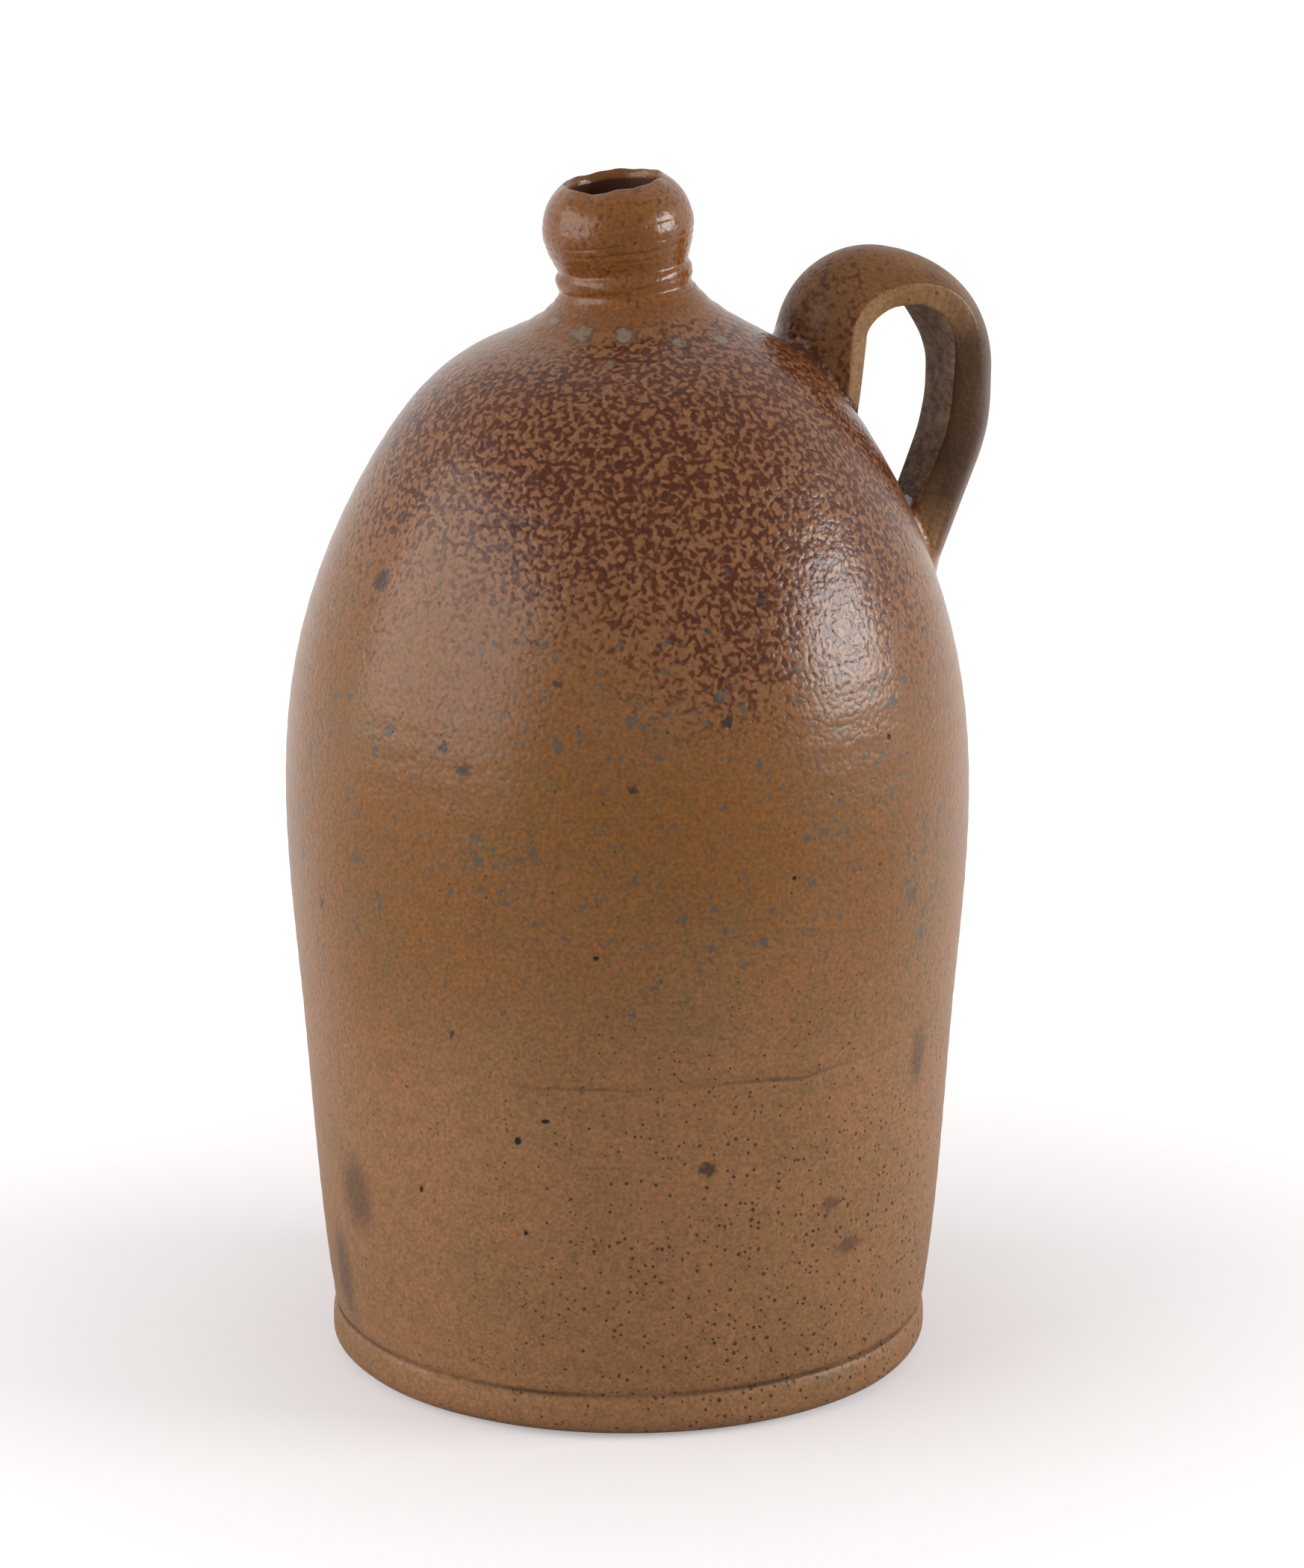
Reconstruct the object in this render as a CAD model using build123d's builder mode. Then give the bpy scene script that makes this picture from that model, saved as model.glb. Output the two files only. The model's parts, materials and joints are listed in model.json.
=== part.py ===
"""A salt-glazed stoneware jug, in the pieces of clay that a potter lutes together.

Sizes are in millimetres. The jug stands on the plane z = 0, with its mouth on the Z axis
and its handle towards +X.
"""

import os
from math import atan2, radians, tan

from build123d import *

# Base slab: the floor of the jug, whose edge shows as the foot band
SLAB_THICKNESS = 12.5
SLAB_LEDGE = 0.9  # how far the foot band stands out past the wall
SLAB_UNDER_ROUND = 6.0
SLAB_UPPER_ROUND = 1.2

# Body wall: radii of the outer surface, with the height of each ring of clay
WALL = 7.5
FOOT_RADIUS = 91.0
LOWER_WALL_HEIGHT = 100.5
LOWER_SEAM_RADIUS = 99.9
BELLY_WALL_HEIGHT = 99.0
UPPER_SEAM_RADIUS = 101.2
DOME_HEIGHT = 119.0
NECK_RADIUS = 20.8

# Turns of the outline between the seams, with the rise of each above the seam below it
BELLY_RADIUS = 103.7
BELLY_RISE = 59.0
SHOULDER_RADIUS = 77.2
SHOULDER_RISE = 66.0
CROWN_RADIUS = 47.1
CROWN_RISE = 100.5
FOOT_SLOPE = (0.16, 1.0)
NECK_SLOPE = (-0.7, 1.0)

# Luting seams: the depth, and half the width, of the ridge under each ring
SEAM_RIDGE = 2.2
NECK_RIDGE = 1.4

# Coil pressed into the inside corner
COIL_REACH = 9.0

# Neck collar and mouth bead, which lean over together on the shoulder
NECK_LEAN = 6.0  # degrees from upright
NECK_LEAN_AZIMUTH = 160.0  # degrees from the handle, towards which the neck leans
NECK_SHIFT = 0.6  # of the neck's foot, the way it leans
NECK_STUB = 3.0  # clay above the throat that the leaning seat is cut into
MOUTH_BORE_RADIUS = 13.5
COLLAR_HEIGHT = 6.5
COLLAR_RADIUS = 21.0
COLLAR_EDGE_RADIUS = 20.1
BEAD_HEIGHT = 27.5
BEAD_RADIUS = 22.5
BEAD_RISE = 12.5  # from the groove under the bead to its widest ring
GROOVE_RADIUS = 19.5
RIM_RADIUS = 15.5
LIP_ROUND = 0.8

# Handle: a pulled strap that tapers from its upper root to its tail
UPPER_ROOT_RISE = 90.3  # of the upper root above the upper seam
LOWER_ROOT_RISE = 31.0  # of the lower root above the upper seam
HANDLE_RISE = 33.2  # of the corner over the rising leg above the upper root
HANDLE_REACH = 14.8  # of the strap's centre line out past the lower root
HANDLE_LEAN = 7.0  # of the rising leg, outwards over that rise
HANDLE_KNEE_DROP = 51.8  # from that corner to where the strap turns back in
TOP_FALL = 10.0  # of the strap's line from that corner to the one over the outer leg
TOP_RUN = 2.0  # straight run between the two bends over the top
BACK_BEND_RADIUS = 20.0
KNEE_BEND_RADIUS = 60.0
TOP_SHARE = 0.38  # of the strap's line, at its section over the top
LEG_SHARE = 0.68  # and at its section on the outer leg
ROOT_TWIST = 29.0  # degrees that the strap is turned on its line at each section
TOP_TWIST = 8.0
LEG_TWIST = 4.0
TAIL_TWIST = 3.0
ROOT_WIDTH = 37.0
TOP_WIDTH = 31.0
LEG_WIDTH = 28.0
TAIL_WIDTH = 26.0
ROOT_THICKNESS = 16.5
TOP_THICKNESS = 15.0
LEG_THICKNESS = 16.5
TAIL_THICKNESS = 13.0
ROOT_CROWN = 11.5  # how far the outer face bulges past the strap's edges
TOP_CROWN = 8.5
LEG_CROWN = 6.5
TAIL_CROWN = 5.0
STRAP_ROUND = 2.0
ROOT_BURIAL = 12.0  # how far the strap's line runs on under the body's surface

# Clay pressed round the strap's roots
PAD_THICKNESS = 2.2
PAD_MARGIN = 4.5
UPPER_PAD_LENGTH = 41.0
UPPER_PAD_DROP = 2.0  # of the pad's middle below the upper root
LOWER_PAD_LENGTH = 34.0

# Heights that follow from the rings
lower_seam_height = SLAB_THICKNESS + LOWER_WALL_HEIGHT
upper_seam_height = lower_seam_height + BELLY_WALL_HEIGHT
neck_height = upper_seam_height + DOME_HEIGHT
stub_top = neck_height + NECK_STUB
neck_length = COLLAR_HEIGHT + BEAD_HEIGHT
outside_radius = 2 * BELLY_RADIUS  # clear of every piece

# Half sections are drawn as radius and height, on the side away from the handle
HALF_SECTION = Plane(origin=(0, 0, 0), x_dir=(-1, 0, 0), z_dir=(0, 1, 0))
# Those of the neck are drawn the same way on its leaning axis, with heights from its seat
neck_turn = Location((0, 0, neck_height), (0, 0, NECK_LEAN_AZIMUTH))
neck_seat = Plane(neck_turn * Location((NECK_SHIFT, 0, 0), (0, NECK_LEAN, 0)))
neck_axis = Axis(neck_seat.origin, neck_seat.z_dir)
NECK_SECTION = Plane(origin=neck_seat.origin, x_dir=neck_seat.x_dir, z_dir=-neck_seat.y_dir)
SKIN_STEPS = 20  # points along an outline that follows the outer surface at a distance

stations = [
    (FOOT_RADIUS, SLAB_THICKNESS),
    (LOWER_SEAM_RADIUS, lower_seam_height),
    (BELLY_RADIUS, lower_seam_height + BELLY_RISE),
    (UPPER_SEAM_RADIUS, upper_seam_height),
    (SHOULDER_RADIUS, upper_seam_height + SHOULDER_RISE),
    (CROWN_RADIUS, upper_seam_height + CROWN_RISE),
    (NECK_RADIUS, neck_height),
]
skin = Spline(*stations, tangents=(FOOT_SLOPE, NECK_SLOPE))


def skin_normal(along):
    """The outward direction of the outer surface, a share of the way along its outline."""
    slope = skin % along
    return Vector(slope.Y, -slope.X)


def skin_points(distance):
    """Points of an outline that lies outside the outer surface by a distance."""
    shares = [step / SKIN_STEPS for step in range(SKIN_STEPS + 1)]
    return [skin @ share + skin_normal(share) * distance for share in shares]


def skin_share(height):
    """The share of the way along the outline at which it reaches a height."""
    level = Axis((0, height, 0), (1, 0, 0))
    return skin.param_at_point(skin.find_intersection_points(level)[0])


def seam_points(radius, height, ridge):
    """A luting seam from the axis to outside the jug, with its ridge pointing down."""
    return [
        (0, height),
        (radius - ridge, height),
        (radius, height - ridge),
        (radius + ridge, height),
        (outside_radius, height),
    ]


throat_radius = skin_points(-WALL)[-1].X
foot_seam = seam_points(FOOT_RADIUS - WALL / 2, SLAB_THICKNESS, SEAM_RIDGE)
lower_seam = seam_points(LOWER_SEAM_RADIUS - WALL / 2, lower_seam_height, SEAM_RIDGE)
upper_seam = seam_points(UPPER_SEAM_RADIUS - WALL / 2, upper_seam_height, SEAM_RIDGE)
dome_top = [(0, stub_top), (outside_radius, stub_top)]
neck_seam = seam_points((throat_radius + COLLAR_EDGE_RADIUS) / 2, 0, NECK_RIDGE)
bead_seam = seam_points((MOUTH_BORE_RADIUS + GROOVE_RADIUS) / 2, COLLAR_HEIGHT, NECK_RIDGE)


def sketch_wall(mode=Mode.ADD):
    """The half section of the whole body wall, from below the foot seam to the neck."""
    ridge_bottom = SLAB_THICKNESS - SEAM_RIDGE
    with BuildLine() as outline:
        outer = Spline(*stations, tangents=(FOOT_SLOPE, NECK_SLOPE))
        inner = Spline(*skin_points(-WALL), tangents=(skin % 0, skin % 1))
        Polyline(outer @ 1, (NECK_RADIUS, stub_top), (throat_radius, stub_top), inner @ 1)
        inner_foot = inner @ 0
        Polyline(inner_foot, (inner_foot.X, ridge_bottom), (FOOT_RADIUS, ridge_bottom), outer @ 0)
    make_face(outline.edges(), mode=mode)


def sketch_between(lower, upper):
    """Keeps the part of a half section that lies between two seams."""
    with BuildLine() as outline:
        Polyline(*lower, *reversed(upper), close=True)
    make_face(outline.edges(), mode=Mode.INTERSECT)


with BuildPart() as base_slab:
    with BuildSketch(HALF_SECTION):
        with BuildLine():
            slab_radius = FOOT_RADIUS + SLAB_LEDGE
            Polyline((0, 0), (slab_radius, 0), (slab_radius, SLAB_THICKNESS), *foot_seam[3::-1], close=True)
        make_face()
    revolve(axis=Axis.Z)
    rings = base_slab.edges().filter_by(GeomType.CIRCLE)
    fillet(rings.group_by(SortBy.RADIUS)[-1].sort_by(Axis.Z)[0], SLAB_UNDER_ROUND)
    rings = base_slab.edges().filter_by(GeomType.CIRCLE)
    fillet(rings.group_by(SortBy.RADIUS)[-1].sort_by(Axis.Z)[-1], SLAB_UPPER_ROUND)

with BuildPart() as corner_coil:
    with BuildSketch(HALF_SECTION):
        with BuildLine():
            corner = (FOOT_RADIUS - WALL / 2, SLAB_THICKNESS)
            toe = (FOOT_RADIUS - WALL - COIL_REACH, SLAB_THICKNESS)
            head = (FOOT_RADIUS - WALL / 2, SLAB_THICKNESS + COIL_REACH + WALL / 2)
            Polyline(toe, corner, head)
            TangentArc(toe, head, tangent=(1, 0.35))
        make_face()
        sketch_wall(mode=Mode.SUBTRACT)
    revolve(axis=Axis.Z)

with BuildPart() as lower_wall:
    with BuildSketch(HALF_SECTION):
        sketch_wall()
        sketch_between(foot_seam, lower_seam)
    revolve(axis=Axis.Z)

with BuildPart() as belly_wall:
    with BuildSketch(HALF_SECTION):
        sketch_wall()
        sketch_between(lower_seam, upper_seam)
    revolve(axis=Axis.Z)

# The dome narrows to a throat, and its top edge is cut to the leaning seat of the neck
with BuildPart() as shoulder_dome:
    with BuildSketch(HALF_SECTION):
        sketch_wall()
        sketch_between(upper_seam, dome_top)
    revolve(axis=Axis.Z)
    with BuildSketch(NECK_SECTION):
        with BuildLine():
            Polyline(*neck_seam, (outside_radius, neck_length), (0, neck_length), close=True)
        make_face()
    revolve(axis=neck_axis, mode=Mode.SUBTRACT)

with BuildPart() as neck_collar:
    with BuildSketch(NECK_SECTION):
        with BuildLine():
            collar_waist = (COLLAR_RADIUS, COLLAR_HEIGHT / 2)
            collar_foot = (COLLAR_EDGE_RADIUS, 0)
            collar_head = (COLLAR_EDGE_RADIUS, COLLAR_HEIGHT)
            bore_foot = (MOUTH_BORE_RADIUS, 0)
            bore_head = (MOUTH_BORE_RADIUS, COLLAR_HEIGHT)
            ThreePointArc(collar_foot, collar_waist, collar_head)
            Polyline(collar_head, *bead_seam[3:0:-1], bore_head, bore_foot, *neck_seam[1:4], collar_foot)
        make_face()
    revolve(axis=neck_axis)

with BuildPart() as mouth_bead:
    with BuildSketch(NECK_SECTION) as bead_section:
        with BuildLine():
            widest = (BEAD_RADIUS, COLLAR_HEIGHT + BEAD_RISE)
            bead_foot = (GROOVE_RADIUS, COLLAR_HEIGHT)
            rim = (RIM_RADIUS, neck_length)
            bore_rim = (MOUTH_BORE_RADIUS, neck_length)
            TangentArc(widest, bead_foot, tangent=(0, -1))
            TangentArc(widest, rim, tangent=(0, 1))
            Polyline(rim, bore_rim, (MOUTH_BORE_RADIUS, COLLAR_HEIGHT), *bead_seam[1:4], bead_foot)
        make_face()
        fillet(bead_section.vertices().group_by(Axis.Y)[-1], LIP_ROUND)
    revolve(axis=neck_axis)

# Solid bodies bounded by the outer surface and by the top of the handle pads
with BuildPart() as body_envelope:
    with BuildSketch(HALF_SECTION):
        with BuildLine():
            outline = Spline(*stations, tangents=(FOOT_SLOPE, NECK_SLOPE))
            Polyline(outline @ 1, (0, neck_height), (0, SLAB_THICKNESS), outline @ 0)
        make_face()
    revolve(axis=Axis.Z)

with BuildPart() as pad_envelope:
    with BuildSketch(HALF_SECTION):
        with BuildLine():
            outline = Spline(*skin_points(PAD_THICKNESS), tangents=(skin % 0, skin % 1))
            top = outline @ 1
            foot = outline @ 0
            Polyline(top, (0, top.Y), (0, foot.Y), foot)
        make_face()
    revolve(axis=Axis.Z)

# The strap's centre line, in the upright plane through the handle
upper_root = skin @ skin_share(upper_seam_height + UPPER_ROOT_RISE)
lower_root = skin @ skin_share(upper_seam_height + LOWER_ROOT_RISE)
strap_top = upper_root.Y + HANDLE_RISE
back_corner = Vector(upper_root.X + HANDLE_LEAN, strap_top)
front_corner = Vector(lower_root.X + HANDLE_REACH, strap_top - TOP_FALL)
top_slope = atan2(TOP_FALL, front_corner.X - back_corner.X)
back_turn = radians(90) - atan2(HANDLE_LEAN, HANDLE_RISE) + top_slope
front_turn = radians(90) - top_slope
back_bend_run = BACK_BEND_RADIUS * tan(back_turn / 2)
front_bend_run = (front_corner - back_corner).length - TOP_RUN - back_bend_run
front_bend_radius = front_bend_run / tan(front_turn / 2)
knee = Vector(lower_root.X + HANDLE_REACH, strap_top - HANDLE_KNEE_DROP)
strap_start = upper_root + (upper_root - back_corner).normalized() * ROOT_BURIAL
strap_end = lower_root + (lower_root - knee).normalized() * ROOT_BURIAL


def sketch_strap(path, share, width, thickness, crown, twist):
    """The strap's section: a flat inner face, upright edges and a bulging outer face."""
    across = Vector(0, 1, 0).rotate(Axis((0, 0, 0), path % share), twist)
    with BuildSketch(Plane(origin=path @ share, x_dir=across, z_dir=path % share)) as section:
        with BuildLine():
            edge_height = thickness / 2 - crown
            left_edge = (-width / 2, edge_height)
            right_edge = (width / 2, edge_height)
            Polyline(left_edge, (-width / 2, -thickness / 2), (width / 2, -thickness / 2), right_edge)
            ThreePointArc(right_edge, (0, thickness / 2), left_edge)
        make_face()
        fillet(section.vertices(), STRAP_ROUND)
    return section.sketch


with BuildPart() as handle_strap:
    with BuildLine() as centre_line:
        corners = (strap_start, back_corner, front_corner, knee, strap_end)
        FilletPolyline(
            *[Vector(corner.X, 0, corner.Y) for corner in corners],
            radius=(BACK_BEND_RADIUS, front_bend_radius, KNEE_BEND_RADIUS),
        )
    path = centre_line.wire()
    sections = [
        sketch_strap(path, 0, ROOT_WIDTH, ROOT_THICKNESS, ROOT_CROWN, ROOT_TWIST),
        sketch_strap(path, TOP_SHARE, TOP_WIDTH, TOP_THICKNESS, TOP_CROWN, TOP_TWIST),
        sketch_strap(path, LEG_SHARE, LEG_WIDTH, LEG_THICKNESS, LEG_CROWN, LEG_TWIST),
        sketch_strap(path, 1, TAIL_WIDTH, TAIL_THICKNESS, TAIL_CROWN, TAIL_TWIST),
    ]
    sweep(sections, path=path, multisection=True)
    add(pad_envelope.part, mode=Mode.SUBTRACT)


upper_pad_middle = skin @ skin_share(upper_seam_height + UPPER_ROOT_RISE - UPPER_PAD_DROP)


def pad_plane(root):
    """The plane that touches the body's outer surface at a root of the handle."""
    outward = skin_normal(skin.param_at_point(root))
    return Plane(origin=(root.X, 0, root.Y), x_dir=(0, 1, 0), z_dir=(outward.X, 0, outward.Y))


with BuildPart() as upper_handle_pad:
    with BuildSketch(pad_plane(upper_pad_middle)):
        Ellipse(ROOT_WIDTH / 2 + PAD_MARGIN, UPPER_PAD_LENGTH / 2)
    extrude(amount=ROOT_BURIAL, both=True)
    add(pad_envelope.part, mode=Mode.INTERSECT)
    add(body_envelope.part, mode=Mode.SUBTRACT)

with BuildPart() as lower_handle_pad:
    with BuildSketch(pad_plane(lower_root)):
        Ellipse(TAIL_WIDTH / 2 + PAD_MARGIN, LOWER_PAD_LENGTH / 2)
    extrude(amount=ROOT_BURIAL, both=True)
    add(pad_envelope.part, mode=Mode.INTERSECT)
    add(body_envelope.part, mode=Mode.SUBTRACT)

base_slab.part.label = "base_slab"
corner_coil.part.label = "corner_coil"
lower_wall.part.label = "lower_wall"
belly_wall.part.label = "belly_wall"
shoulder_dome.part.label = "shoulder_dome"
neck_collar.part.label = "neck_collar"
mouth_bead.part.label = "mouth_bead"
handle_strap.part.label = "handle_strap"
upper_handle_pad.part.label = "upper_handle_pad"
lower_handle_pad.part.label = "lower_handle_pad"

os.makedirs("parts", exist_ok=True)
export_step(base_slab.part, "parts/base_slab.step")
export_step(corner_coil.part, "parts/corner_coil.step")
export_step(lower_wall.part, "parts/lower_wall.step")
export_step(belly_wall.part, "parts/belly_wall.step")
export_step(shoulder_dome.part, "parts/shoulder_dome.step")
export_step(neck_collar.part, "parts/neck_collar.step")
export_step(mouth_bead.part, "parts/mouth_bead.step")
export_step(handle_strap.part, "parts/handle_strap.step")
export_step(upper_handle_pad.part, "parts/upper_handle_pad.step")
export_step(lower_handle_pad.part, "parts/lower_handle_pad.step")
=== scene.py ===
"""A salt-glazed stoneware jug on a pale studio floor, dressed over its solids piece by piece."""

import json
from math import cos, degrees, pi, radians, sin, tan

import bpy
import numpy as np
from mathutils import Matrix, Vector


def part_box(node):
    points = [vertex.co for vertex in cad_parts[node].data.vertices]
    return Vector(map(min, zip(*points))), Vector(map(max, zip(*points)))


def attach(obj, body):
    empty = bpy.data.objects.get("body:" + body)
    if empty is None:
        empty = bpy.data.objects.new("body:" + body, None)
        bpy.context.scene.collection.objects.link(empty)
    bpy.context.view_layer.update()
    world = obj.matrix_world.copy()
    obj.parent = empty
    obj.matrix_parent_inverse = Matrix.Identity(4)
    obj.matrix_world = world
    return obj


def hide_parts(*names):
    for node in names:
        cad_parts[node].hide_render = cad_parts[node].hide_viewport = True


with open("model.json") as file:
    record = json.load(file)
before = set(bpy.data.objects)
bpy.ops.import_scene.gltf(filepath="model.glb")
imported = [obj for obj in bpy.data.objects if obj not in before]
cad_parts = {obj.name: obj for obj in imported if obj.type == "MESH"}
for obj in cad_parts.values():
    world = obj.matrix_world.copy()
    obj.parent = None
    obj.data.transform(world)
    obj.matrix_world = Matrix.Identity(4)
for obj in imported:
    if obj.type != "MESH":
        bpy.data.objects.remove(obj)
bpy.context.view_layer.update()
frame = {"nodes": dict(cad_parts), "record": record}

# Base slab: a thick disc of coarse clay, beaten flat for the floor of the jug. Its edge stands out a
# little past the wall as the foot band and is thinly glazed, and the underside, cut from its board
# with a wire, is fired bare. The top is coated with the liner glaze, as all of the inside is.
MM = 0.001
AROUND = 480
turn = np.linspace(0, 2 * pi, AROUND, endpoint=False)


def turned_piece(name, rings, closed):
    """A piece from rings of points in millimetres, each joined to the next one.

    A closed section joins its last ring to its first; an open one gets a lid on each end."""
    count, around = rings.shape[:2]
    here = np.arange(count * around).reshape(count, around)
    lower = here if closed else here[:-1]
    upper = np.roll(here, -1, axis=0) if closed else here[1:]
    corners = (lower, np.roll(lower, -1, axis=1), np.roll(upper, -1, axis=1), upper)
    faces = np.stack(corners, axis=-1).reshape(-1, 4)
    points = rings.reshape(-1, 3)
    first, second, third = (points[faces[:, corner]] for corner in (0, 1, 2))
    facing_in = (first * np.cross(second, third)).sum() < 0
    faces = faces.tolist()
    if not closed:
        faces += [here[0, ::-1].tolist(), here[-1].tolist()]
    if facing_in:
        faces = [face[::-1] for face in faces]
    mesh = bpy.data.meshes.new(name)
    mesh.from_pydata((points * MM).tolist(), [], faces)
    mesh.shade_smooth()
    mesh.set_sharp_from_angle(angle=radians(50))
    piece = bpy.data.objects.new(name, mesh)
    bpy.context.scene.collection.objects.link(piece)
    return piece


def turned_rings(radii, heights):
    """Points on rings round the jug's axis, from arrays of radius and height by ring and by turn."""
    radii, heights = np.broadcast_arrays(radii, heights)
    return np.stack((radii * np.cos(turn), radii * np.sin(turn), heights), axis=-1)


slab_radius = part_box("base_slab")[1][0] / MM
slab_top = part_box("base_slab")[1][2] / MM
UNDER_ROUND = 9.0
UNDER_TALL = 5.58
EDGE_BULGE = 1.5
EDGE_TALL = 5.0
VIEW_TURN = radians(20)
FRONT = -pi / 2 - VIEW_TURN
quarter = np.linspace(0, pi / 2, 11)
under_radii = slab_radius - UNDER_ROUND * (1 - np.sin(quarter))
under_heights = UNDER_TALL * (1 - np.cos(quarter))
upper_radii = slab_radius - EDGE_BULGE * (1 - np.cos(quarter))
upper_heights = slab_top - EDGE_TALL * (1 - np.sin(quarter))
flat_radii = np.linspace(4.0, slab_radius - UNDER_ROUND, 16)[:-1]
slab_radii = np.concatenate((flat_radii, under_radii, upper_radii, flat_radii[::-4]))
slab_heights = np.concatenate((
    0 * flat_radii, under_heights, upper_heights, slab_top + 0 * flat_radii[::-4],
))
EDGE_REACH = 6.0
edge_share = np.clip((slab_radii - slab_radius + EDGE_REACH) / EDGE_REACH, 0, 1)[:, None]
edge_swell = 0.28 * np.sin(2 * turn + 1.1) + 0.22 * np.sin(5 * turn + 0.4) + 0.14 * np.sin(11 * turn)

SEAM_RISE = 2.5
SEAM_DIP = 0.9


def seam_lift(azimuth):
    """How far the foot seam lies over the top of the slab: least at the front, with the fingers' waves."""
    waves = 0.25 * np.sin(3 * azimuth + 0.5) + 0.12 * np.sin(7 * azimuth + 2.0)
    return SEAM_RISE - SEAM_DIP * np.cos(azimuth - FRONT) + waves


lift_share = edge_share * (slab_heights / slab_top)[:, None]
slab_rings = turned_rings(
    slab_radii[:, None] + edge_share * (edge_swell - 0.1),
    slab_heights[:, None] + lift_share * seam_lift(turn),
)
base_slab = turned_piece("base_slab_clay", slab_rings, closed=False)


def linear(code):
    """The linear colour of an sRGB hex code."""
    shares = [int(code[start:start + 2], 16) / 255 for start in (1, 3, 5)]
    curved = [share / 12.92 if share < 0.04045 else ((share + 0.055) / 1.055) ** 2.4 for share in shares]
    return curved + [1.0]


def add_node(tree, kind, inputs, out=0, **settings):
    """Adds a node with its settings, and gives each input a value or links it to a socket.

    Inputs go by name or number: in a Mix, 0 is the factor and 6 and 7 are the two colours, and in a
    MapRange 1 and 2 are the old ends and 3 and 4 the new ones, which are 0 and 1 where not given.
    Gives the output that is asked for, or the whole node where out is None."""
    node = tree.nodes.new("ShaderNode" + kind)
    for name, value in settings.items():
        setattr(node, name, value)
    for name, value in inputs.items():
        if isinstance(value, bpy.types.NodeSocket):
            tree.links.new(value, node.inputs[name])
        else:
            node.inputs[name].default_value = value
    return node if out is None else node.outputs[out]


def new_material(name):
    """An empty material, and the place of each point on the jug in millimetres."""
    material = bpy.data.materials.new(name)
    material.use_nodes = True
    tree = material.node_tree
    tree.nodes.clear()
    metres = add_node(tree, "TexCoord", {}, out="Object")
    place = add_node(tree, "VectorMath", {0: metres, "Scale": 1 / MM}, operation="SCALE")
    return material, tree, place


def fired_surface(tree, colour, roughness, relief, shine):
    """Ends a material of fired clay or glaze, with the height of its relief in millimetres."""
    bump = add_node(tree, "Bump", {"Height": relief, "Distance": MM})
    finish = {"Base Color": colour, "Roughness": roughness, "Normal": bump, "Specular IOR Level": shine}
    shader = add_node(tree, "BsdfPrincipled", {**finish, "IOR": 1.5})
    add_node(tree, "OutputMaterial", {0: shader}, out=None)


# Bare fired stoneware: a coarse tan body, matt, with pale and dark grit of about a millimetre, and the
# curved drag lines of the cutting wire some 4 mm apart; a thin glaze browns it on the edge.
stoneware, tree, place = new_material("bare fired stoneware")
height = add_node(tree, "SeparateXYZ", {0: place}, out=2)
grit = add_node(tree, "TexNoise", {"Vector": place, "Scale": 1 / 1.2, "Detail": 3.0})
cloud = add_node(tree, "TexNoise", {"Vector": place, "Scale": 1 / 26, "Detail": 3.0})
clay = add_node(
    tree, "Mix", {0: grit, 6: linear("#74522F"), 7: linear("#9A7148")}, out=2, data_type="RGBA",
)
glazed = add_node(
    tree, "Mix", {0: grit, 6: linear("#6E4320"), 7: linear("#8A5A30")}, out=2, data_type="RGBA",
)
edge = add_node(tree, "MapRange", {0: height, 1: 0.3, 2: 4.5}, interpolation_type="SMOOTHSTEP")
coated = add_node(tree, "Mix", {0: edge, 6: clay, 7: glazed}, out=2, data_type="RGBA")
stain = add_node(tree, "MapRange", {0: cloud, 1: 0.5, 2: 0.75, 4: 0.55}, interpolation_type="SMOOTHSTEP")
stained = add_node(tree, "Mix", {0: stain, 6: coated, 7: linear("#553A24")}, out=2, data_type="RGBA")
WIRE_CENTRE = (150.0, 40.0, 0.0)
WIRE_PITCH = 4.0
wire_centre = add_node(tree, "VectorMath", {0: place, 1: WIRE_CENTRE}, operation="SUBTRACT")
wire = add_node(
    tree, "TexWave",
    {"Vector": wire_centre, "Scale": 2 * pi / 20 / WIRE_PITCH, "Distortion": 2.0, "Detail": 1.0},
    out=1, wave_type="RINGS", rings_direction="Z",
)
under = add_node(tree, "MapRange", {0: height, 1: 0.5, 2: 0.0, 4: 0.25})
drag = add_node(tree, "Math", {0: wire, 1: under}, operation="MULTIPLY")
relief = add_node(tree, "Math", {0: grit, 1: 0.10, 2: drag}, operation="MULTIPLY_ADD")
dull = add_node(tree, "MapRange", {0: edge, 3: 0.8, 4: 0.5})
fired_surface(tree, stained, dull, relief, shine=0.5)

# Liner glaze: a dark brown slip poured round the inside and out again, rather dull, a little streaked.
liner, tree, place = new_material("dark liner glaze")
streak = add_node(tree, "TexNoise", {"Vector": place, "Scale": 1 / 18, "Detail": 4.0})
brown = add_node(
    tree, "Mix", {0: streak, 6: linear("#34190E"), 7: linear("#5A3320")}, out=2, data_type="RGBA",
)
ripple = add_node(tree, "Math", {0: streak, 1: 0.5}, operation="MULTIPLY")
fired_surface(tree, brown, 0.6, ripple, shine=0.2)

base_slab.data.materials.append(stoneware)
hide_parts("base_slab")
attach(base_slab, "root")

# Corner coil: a soft roll of clay pressed with the thumb into the corner of floor and wall, so that
# the joint holds water. It is hidden inside and coated with the liner glaze.
corner_coil = frame["nodes"]["corner_coil"]
corner_coil.data.materials.clear()
corner_coil.data.materials.append(liner)

# Lower wall: the first ring thrown on the wheel and luted to the slab. Its outside carries a thin,
# rather dull salt glaze, and a faint line shows where the next ring was joined on.
WALL = 7.5
FOOT_RADIUS = 91.0
FOOT_TUCK = 3.0
NECK_RADIUS = 20.8
NECK_HEIGHT = 331.0
lower_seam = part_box("lower_wall")[1][2] / MM
upper_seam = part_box("belly_wall")[1][2] / MM


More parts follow.
